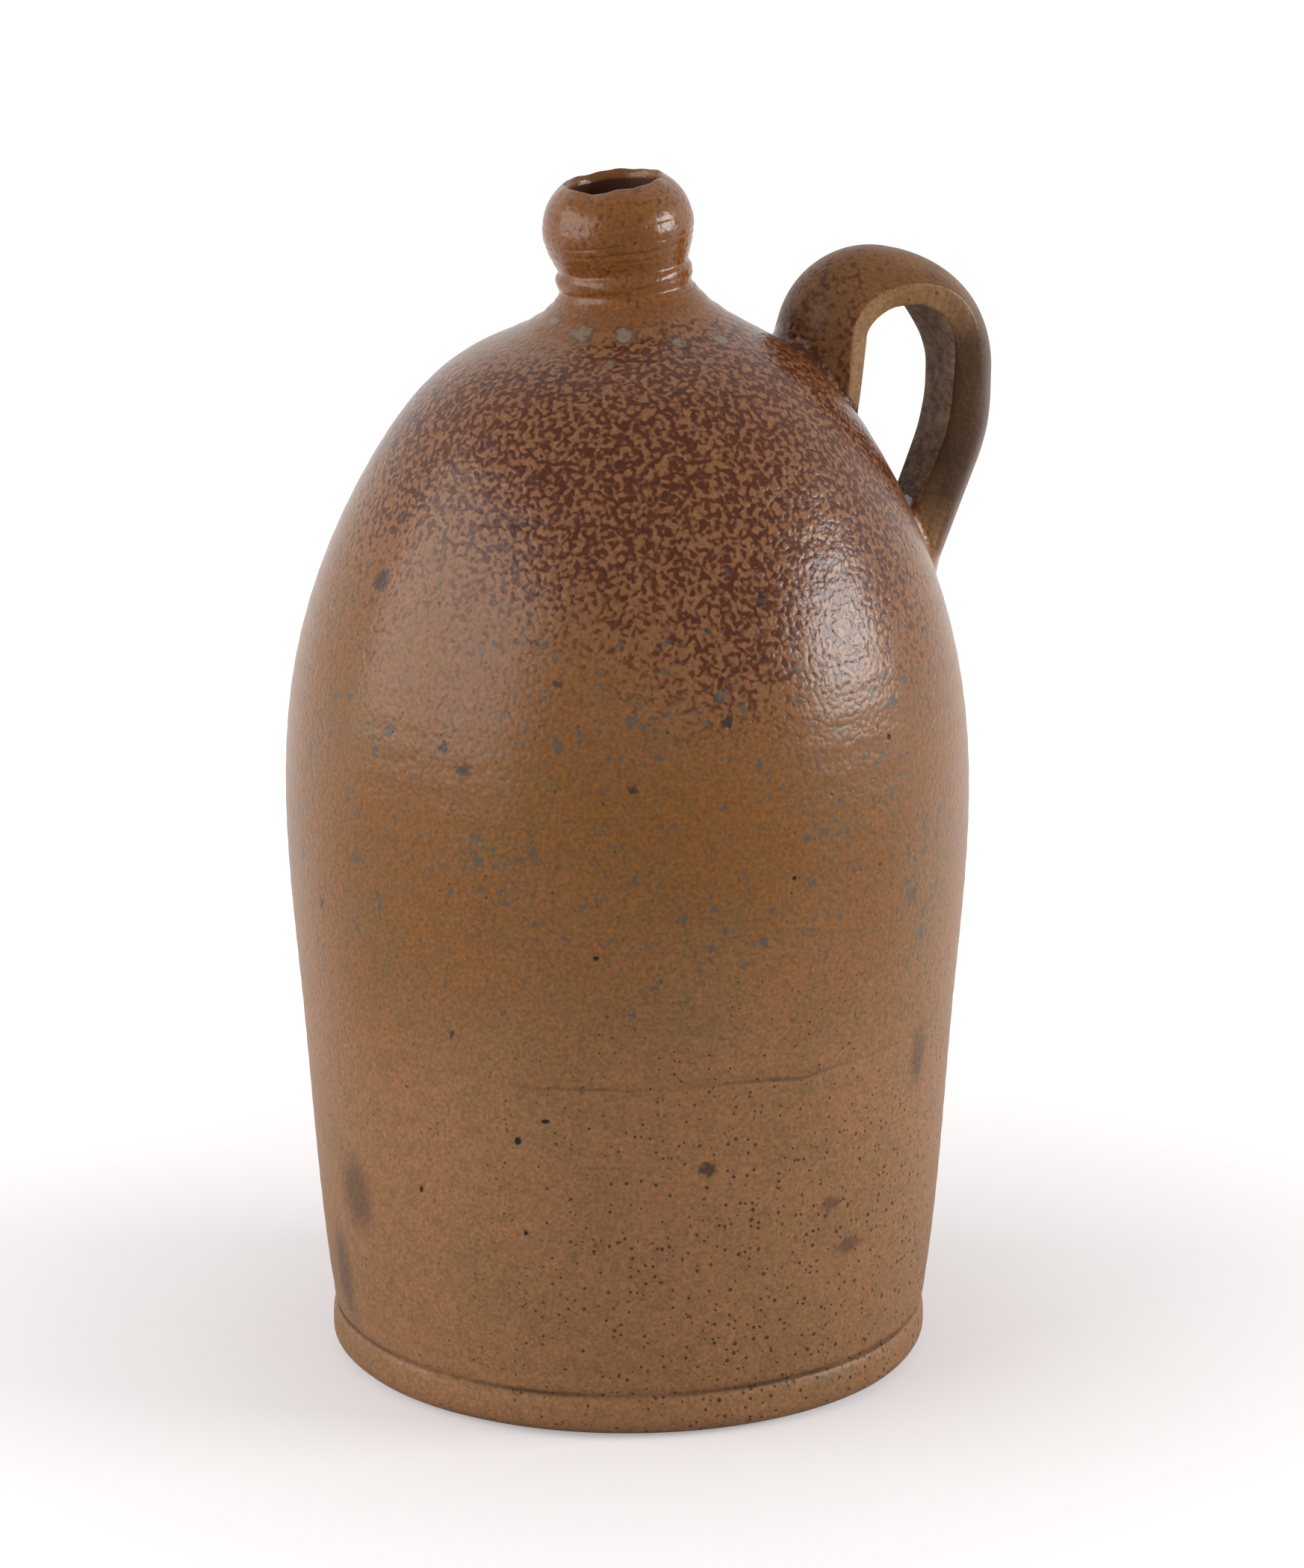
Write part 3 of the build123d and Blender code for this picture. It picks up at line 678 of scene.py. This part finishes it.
bead_section = np.concatenate((bead_line, lip_line[1:]))
bead_radii, bead_heights = (bead_section[:, axis][:, None] + 0 * turn for axis in (0, 1))
outside = (np.arange(len(bead_section)) < len(bead_line))[:, None]
for line_rise, line_depth in ((17.3, 0.3), (15.0, 0.24), (22.7, 0.1), (12.2, 0.1)):
    wander = line_rise + 0.35 * np.sin(2 * turn + line_rise) + 0.15 * np.sin(5 * turn + 2 * line_rise)
    faded = line_depth * (0.7 + 0.3 * np.sin(3 * turn + 3 * line_rise))
    bead_radii = bead_radii - outside * faded * np.exp(-((bead_heights - wander) / 0.5) ** 2)
swell_share = np.clip((bead_heights - COLLAR_HEIGHT) / 6, 0, 1)
swell = 0.2 * np.sin(2 * turn + 0.7) + 0.12 * np.sin(5 * turn + 2.2) + 0.3 * np.cos(turn - LEAN_AZIMUTH)
bead_radii += outside * swell_share * swell
front = (turn - FRONT + pi) % (2 * pi) - pi
CHIP_AT = -0.42
CHIP_DEPTH = 0.85
chip_width = np.where(front < CHIP_AT, 0.12, 0.36)
rim_wave = -0.2 - 0.6 * np.cos(front) - CHIP_DEPTH * np.exp(-((front - CHIP_AT) / chip_width) ** 2)
rim_wave += 0.16 * np.sin(6 * turn + 0.5) + 0.1 * np.sin(13 * turn)
WAVE_START = 23.0
rim_share = np.clip((bead_heights - WAVE_START) / (RIM_RISE - WAVE_START), 0, 1) ** 2
bead_heights = bead_heights + rim_share * rim_wave
mouth_bead = turned_piece("mouth_bead_clay", neck_rings(bead_radii, bead_heights), closed=True)
throat = np.repeat((np.arange(len(bead_section)) > len(bead_line) + 1).astype(int), AROUND)
mouth_bead.data.polygons.foreach_set("material_index", throat)
mouth_bead.data.materials.append(neck_glaze)
mouth_bead.data.materials.append(liner)
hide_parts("mouth_bead")
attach(mouth_bead, "root")

# Handle strap: a tongue of clay pulled by hand, crowned outside and nearly flat inside. It was bent over
# while soft, with a twist at its upper root, and narrows to the tail.
STRAP_RINGS = 200
strap_corners = np.array([(53.2, 290.5), (63.0, 335.5), (109.6, 326.0), (108.9, 283.7), (89.5, 231.7)])
strap_bends = (20.0, 31.0, 60.0)
BEND_POINTS = 60


def bent_line(corners, bends, count):
    """Evenly spaced points along straight runs that are joined by round bends."""
    line = [corners[:1]]
    for corner, before, after, bend in zip(corners[1:-1], corners[:-2], corners[2:], bends):
        coming = (corner - before) / np.linalg.norm(corner - before)
        going = (after - corner) / np.linalg.norm(after - corner)
        angle = np.arccos(coming @ going)
        inward = (going - coming) / np.linalg.norm(going - coming)
        centre = corner + inward * bend / cos(angle / 2)
        swing = np.linspace(-angle / 2, angle / 2, BEND_POINTS)[:, None]
        middle_way = (coming + going) / np.linalg.norm(coming + going)
        line.append(centre + bend * (middle_way * np.sin(swing) - inward * np.cos(swing)))
    line = np.concatenate(line + [corners[-1:]])
    run = np.concatenate(([0.0], np.cumsum(np.linalg.norm(np.diff(line, axis=0), axis=1))))
    even = np.linspace(0, run[-1], count)
    return np.stack([np.interp(even, run, line[:, axis]) for axis in (0, 1)], axis=1)


strap_line = bent_line(strap_corners, strap_bends, STRAP_RINGS)
along = np.linspace(0, 1, STRAP_RINGS)[:, None]
strap_slope = np.gradient(strap_line, axis=0)
strap_slope /= np.linalg.norm(strap_slope, axis=1)[:, None]
nothing = np.zeros(STRAP_RINGS)
strap_out = np.stack((-strap_slope[:, 1], nothing, strap_slope[:, 0]), axis=1)
strap_side = np.stack((nothing, nothing + 1, nothing), axis=1)
# Where the strap runs down to its tail and where it bends over the top, by the share of the way along
tail = np.clip((along - 0.5) / 0.45, 0, 1)
over_top = np.exp(-((along - 0.44) / 0.1) ** 2)
TWIST_LEAST = radians(3)
ROOT_TWIST = radians(26)
TOP_UNTWIST = radians(12)
TAIL_TWIST = radians(3.5)
twist = TWIST_LEAST + ROOT_TWIST * (1 - along) ** 2.9 - TOP_UNTWIST * over_top + TAIL_TWIST * tail
side = strap_side * np.cos(twist) + strap_out * np.sin(twist)
out = strap_out * np.cos(twist) - strap_side * np.sin(twist)
half_width = 18.5 - 9.2 * along + 3.7 * along ** 2 + 0.3 * np.sin(13 * along) + 0.15 * np.sin(29 * along)
thickness = np.interp(along, (0, 0.38, 0.68, 1), (16.5, 15.2, 16.3, 13.5))
crown = 11.5 - 8.5 * along + 2 * along ** 2 - 2.2 * np.exp(-((along - 0.42) / 0.14) ** 2)
# The corners are crisp on the rising leg and worn soft past the top
softness = np.clip((along - 0.4) / 0.25, 0, 1)
softness = softness ** 2 * (3 - 2 * softness)
# Points round the section: the crowned outer face, one edge, the inner face and the other edge
arc = np.linspace(-1, 1, 56)
leg = np.linspace(0, 1, 12)[1:-1]
flat = np.linspace(1, -1, 34)
across = np.concatenate((arc, 1 + 0 * leg, flat, -1 + 0 * leg))
edge_rise = thickness / 2 - crown
arris = 0.45 * (1 - softness) * np.exp(-((1 - np.abs(arc)) / 0.05) ** 2)
arch = edge_rise + crown * (1 - arc ** 2) + arris
inner_rise = -thickness / 2 + 2.0 * np.exp(-((along - 0.39) / 0.09) ** 2)
inner_rise = inner_rise - 0.7 * np.clip((along - 0.45) / 0.1, 0, 1) - 3.2 * tail ** 1.8
right_leg = edge_rise + (inner_rise - edge_rise) * leg
inner_face = inner_rise + 0.5 * (1 - flat ** 2)
left_leg = right_leg[:, ::-1]
section_rise = np.concatenate((arch, right_leg, inner_face, left_leg), axis=1)
crisp = np.stack((half_width * across, section_rise), axis=-1)


def rounded(section, passes):
    """A closed section with its corners rounded off by moving each point between its neighbours."""
    for _ in range(passes):
        section = section / 2 + (np.roll(section, 1, axis=1) + np.roll(section, -1, axis=1)) / 4
    return section


blend = softness[:, :, None]
CRISP_PASSES = 1
SOFT_PASSES = 20
section = rounded(crisp, CRISP_PASSES) * (1 - blend) + rounded(crisp, SOFT_PASSES) * blend
centre = np.stack((strap_line[:, 0], nothing, strap_line[:, 1]), axis=1)[:, None]
strap_rings = centre + section[:, :, :1] * side[:, None] + section[:, :, 1:] * out[:, None]
handle_strap = turned_piece("handle_strap_clay", strap_rings, closed=False)


def strap_glaze(name, dark, light, net_most):
    """Salt glaze on the strap: its own colour on the rise and the top, and olive down the outer leg."""
    material, tree, place = new_material(name)
    sides = add_node(tree, "SeparateXYZ", {0: place}, out=None)
    cloud = add_node(tree, "TexNoise", {"Vector": place, "Scale": 1 / 13, "Detail": 4.0})
    tone = add_node(tree, "MapRange", {0: cloud, 1: 0.3, 2: 0.7})
    upper = add_node(tree, "Mix", {0: tone, 6: linear(dark), 7: linear(light)}, out=2, data_type="RGBA")
    olive = add_node(
        tree, "Mix", {0: tone, 6: linear("#3A240F"), 7: linear("#4E3319")}, out=2, data_type="RGBA",
    )
    past_top = add_node(tree, "MapRange", {0: sides.outputs[0], 1: 80.0, 2: 98.0})
    below_top = add_node(tree, "MapRange", {0: sides.outputs[2], 1: 327.0, 2: 311.0})
    over_tail = add_node(tree, "MapRange", {0: sides.outputs[2], 1: 244.0, 2: 264.0})
    outer_leg = add_node(tree, "Math", {0: past_top, 1: below_top}, operation="MULTIPLY")
    outer_leg = add_node(tree, "Math", {0: outer_leg, 1: over_tail}, operation="MULTIPLY")
    ground = add_node(tree, "Mix", {0: outer_leg, 6: upper, 7: olive}, out=2, data_type="RGBA")
    near_root = add_node(tree, "MapRange", {0: sides.outputs[0], 1: 96.0, 2: 66.0, 4: net_most})
    patchy = add_node(tree, "MapRange", {0: cloud, 1: 0.3, 2: 0.7, 3: 0.7, 4: 1.0})
    netting = add_node(tree, "Math", {0: near_root, 1: patchy}, operation="MULTIPLY")
    colour, skin = salt_skin(tree, place, ground, linear("#7A5029"), netting)
    fired_surface(tree, colour, 0.4, skin, shine=0.28)
    return material


# Salt glaze on the strap's outer face: red-brown and netted at the upper root, where salt gathered.
crown_glaze = strap_glaze("netted red-brown salt glaze", "#5C3718", "#7E5833", 0.8)

# Salt glaze on the strap's edges: smoother and paler, because the glaze ran off them.
edge_glaze = strap_glaze("olive-tan salt glaze", "#785430", "#94714A", 0.3)

# Dry skin of the strap's inner face, which the flame hardly reached: grey-brown, rough and uneven, in
# patches about 3 mm long and 5 mm wide.
dry_skin, tree, place = new_material("dry grey-brown salt glaze")
drawn = add_node(tree, "VectorMath", {0: place, 1: (0.33, 0.18, 0.33)}, operation="MULTIPLY")
rough = add_node(tree, "TexNoise", {"Vector": drawn, "Scale": 1.0, "Detail": 5.0, "Roughness": 0.62})
tone = add_node(tree, "MapRange", {0: rough, 1: 0.32, 2: 0.68})
grey = add_node(
    tree, "Mix", {0: tone, 6: linear("#5E4535"), 7: linear("#A48A72")}, out=2, data_type="RGBA",
)
relief = add_node(tree, "Math", {0: rough, 1: 2.2}, operation="MULTIPLY")
fired_surface(tree, grey, 0.8, relief, shine=0.25)

for finish in (crown_glaze, dry_skin, edge_glaze):
    handle_strap.data.materials.append(finish)
inner_start = len(arc) + len(leg)
inner_end = inner_start + len(flat)
finish_share = np.full((len(strap_rings) - 1, len(across)), 2)
finish_share[:, :len(arc) - 1] = 0
finish_share[:, inner_start:inner_end - 1] = 1
handle_strap.data.polygons.foreach_set("material_index", np.append(finish_share.ravel(), (0, 0)))
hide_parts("handle_strap")
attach(handle_strap, "root")

# Handle pads: the clay pressed and wiped round the two roots of the strap. At the upper root it fills the
# corner with a narrow hollow; at the tail it was smeared out over the wall and up the strap's back.


def skin_below(points):
    """The nearest points of the body's outer skin, its outward directions and the heights over it."""
    azimuth = np.arctan2(points[..., 1], points[..., 0])
    radius = np.hypot(points[..., 0], points[..., 1])
    drop = lean_drop(radius, azimuth)
    section = np.stack((radius, points[..., 2] - drop), axis=-1)
    coarse = slice(None, None, 4)
    gaps = np.linalg.norm(section[..., None, :] - outline[coarse], axis=-1)
    nearest = gaps.argmin(axis=-1)
    foot, up = outline[coarse][nearest], outline_out[coarse][nearest]
    rise = ((section - foot) * up).sum(axis=-1)
    ring = np.stack((np.cos(azimuth), np.sin(azimuth)), axis=-1)
    on_skin = np.concatenate((section - rise[..., None] * up, drop[..., None]), axis=-1)
    point = np.concatenate((on_skin[..., :1] * ring, on_skin[..., 1:2] + on_skin[..., 2:]), axis=-1)
    direction = np.concatenate((up[..., :1] * ring, up[..., 1:]), axis=-1)
    return point, direction, rise


def root_pad(name, rings, up_run, out_run):
    """Clay filling the corner between the body and a root of the strap, from the strap's rings.

    The rings run outwards from inside the body, and the two runs say how far the clay reaches up the
    strap and out over the body at each point round it."""
    rise = skin_below(rings)[2]
    around = np.arange(rings.shape[1])
    leaving = np.argmax(rise > 0, axis=0)
    share = rise[leaving, around] / (rise[leaving, around] - rise[leaving - 1, around])
    corner = rings[leaving, around] * (1 - share)[:, None] + rings[leaving - 1, around] * share[:, None]
    steps = np.linalg.norm(np.diff(rings, axis=0), axis=2)
    length = np.concatenate((np.zeros((1, len(around))), np.cumsum(steps, axis=0)))
    target = length[leaving, around] + up_run
    top = np.stack([
        [np.interp(target[k], length[:, k], rings[:, k, axis]) for axis in range(3)] for k in around
    ])
    away = corner - corner.mean(axis=0)
    normal = skin_below(corner)[1]
    away -= (away * normal).sum(axis=1)[:, None] * normal
    away /= np.linalg.norm(away, axis=1)[:, None]
    foot, foot_normal, _ = skin_below(corner + away * out_run[:, None])
    share = np.linspace(0, 1, 15)[:, None, None]
    sunk_foot = foot - 0.25 * foot_normal
    pad = (1 - share) ** 2 * top + 2 * share * (1 - share) * corner + share ** 2 * sunk_foot
    return turned_piece(name, np.concatenate((pad, (foot - 2.5 * foot_normal)[None])), closed=False)


# Most of the clay lies along the middle of the strap's outer face
MIDDLE_POINTS = 17.0
outer_share = np.exp(-((np.arange(len(across)) - len(arc) / 2) / MIDDLE_POINTS) ** 2)
UPPER_ROOT_RINGS = 90
upper_root = strap_rings[:UPPER_ROOT_RINGS]
upper_pad = root_pad("upper_handle_pad_clay", upper_root, 2.0 + 4 * outer_share, 1.8 + 3 * outer_share)
upper_pad.data.materials.append(body_glaze)
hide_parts("upper_handle_pad")
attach(upper_pad, "root")

TAIL_START_RING = 110
strap_tail = strap_rings[:TAIL_START_RING:-1]
tail_smear = 5.0 + 9 * outer_share
lower_pad = root_pad("lower_handle_pad_clay", strap_tail, tail_smear, tail_smear)
lower_pad.data.materials.append(body_glaze)
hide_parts("lower_handle_pad")
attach(lower_pad, "root")

# Studio: a pale paper floor that turns white away from the jug, a soft light on each side, the right one
# smaller and harder, and a long lens that looks a little down from the front.
floor_mesh = bpy.data.meshes.new("studio_floor")
FLOOR_HALF = 6.0
floor_sides = ((-1, -1), (1, -1), (1, 1), (-1, 1))
floor_corners = [(x_side * FLOOR_HALF, y_side * FLOOR_HALF, 0) for x_side, y_side in floor_sides]
floor_mesh.from_pydata(floor_corners, [], [(0, 1, 2, 3)])
floor = bpy.data.objects.new("studio_floor", floor_mesh)
bpy.context.scene.collection.objects.link(floor)
INTO_VIEW = (sin(VIEW_TURN), cos(VIEW_TURN), 0.0)


def shown_white(tree, place, near, far):
    """Where a ray that the camera, a shiny surface or glass sends out meets the white backdrop.

    The backdrop stands behind the jug, so reflections turn towards the dim room on the camera's side."""
    seen = add_node(tree, "LightPath", {}, out=None)
    behind = add_node(tree, "VectorMath", {0: place, 1: INTO_VIEW}, out="Value", operation="DOT_PRODUCT")
    backdrop = add_node(tree, "MapRange", {0: behind, 1: near, 2: far}, interpolation_type="SMOOTHSTEP")
    shiny = add_node(tree, "Math", {0: seen.outputs["Is Glossy Ray"], 1: backdrop}, operation="MULTIPLY")
    clear = add_node(
        tree, "Math",
        {0: seen.outputs["Is Camera Ray"], 1: seen.outputs["Is Transmission Ray"]},
        operation="MAXIMUM",
    )
    return add_node(tree, "Math", {0: clear, 1: shiny}, operation="MAXIMUM")


# Matt white paper, which the camera sees a little brighter than its light alone makes it.
paper, tree, place = new_material("white background paper")
away = add_node(tree, "VectorMath", {0: place}, out="Value", operation="LENGTH")
lift = add_node(tree, "MapRange", {0: away, 1: 105.0, 2: 450.0, 3: 0.34, 4: 0.74})
clear = shown_white(tree, place, -100.0, 300.0)
glow = add_node(tree, "Math", {0: lift, 1: clear}, operation="MULTIPLY")
matt = add_node(tree, "BsdfDiffuse", {0: linear("#C9C4C4")})
bright = add_node(tree, "Emission", {0: linear("#FFFDFD"), 1: glow})
both = add_node(tree, "AddShader", {0: matt, 1: bright})
add_node(tree, "OutputMaterial", {0: both}, out=None)
floor_mesh.materials.append(paper)

world = bpy.data.worlds.new("white_studio")
world.use_nodes = True
tree = world.node_tree
tree.nodes.clear()
towards = add_node(tree, "TexCoord", {}, out="Generated")
clear = shown_white(tree, towards, -0.3, 0.5)
level = add_node(tree, "MapRange", {0: clear, 3: 0.5, 4: 1.0})
sky = add_node(tree, "Background", {0: linear("#FFFFFF"), 1: level})
add_node(tree, "OutputWorld", {0: sky}, out=None)
bpy.context.scene.world = world

LAMP_AIM = Vector((0, 0, 0.17))


def softbox(name, view_azimuth, elevation, distance, size, power):
    """A wide soft light aimed at the jug, placed by its direction from the camera's side."""
    azimuth = view_azimuth - pi / 2 - VIEW_TURN
    direction = Vector((cos(azimuth) * cos(elevation), sin(azimuth) * cos(elevation), sin(elevation)))
    lamp = bpy.data.lights.new(name, "AREA")
    lamp.shape = "RECTANGLE"
    lamp.size = size
    lamp.size_y = 0.65 * size
    lamp.energy = power
    holder = bpy.data.objects.new(name, lamp)
    holder.location = LAMP_AIM + direction * distance
    holder.rotation_euler = direction.to_track_quat("Z", "Y").to_euler()
    bpy.context.scene.collection.objects.link(holder)


softbox("right_softbox", radians(82), radians(15), distance=1.7, size=0.9, power=21)
softbox("left_softbox", radians(-69), radians(20), distance=1.7, size=2.0, power=24)

camera_data = bpy.data.cameras.new("studio_camera")
LENS = 142
SENSOR_WIDTH = 36
camera_data.lens = LENS
camera_data.sensor_width = SENSOR_WIDTH
camera = bpy.data.objects.new("studio_camera", camera_data)
CAMERA_DISTANCE = 1.820
CAMERA_SIDE = 0.0072
CAMERA_HEIGHT = 0.681
CAMERA_TILT = radians(15.44)
camera.location = (
    -CAMERA_DISTANCE * sin(VIEW_TURN) + CAMERA_SIDE * cos(VIEW_TURN),
    -CAMERA_DISTANCE * cos(VIEW_TURN) - CAMERA_SIDE * sin(VIEW_TURN),
    CAMERA_HEIGHT,
)
camera.rotation_euler = (pi / 2 - CAMERA_TILT, 0, -VIEW_TURN)
bpy.context.scene.collection.objects.link(camera)
bpy.context.scene.camera = camera
bpy.context.scene.view_settings.view_transform = "Standard"
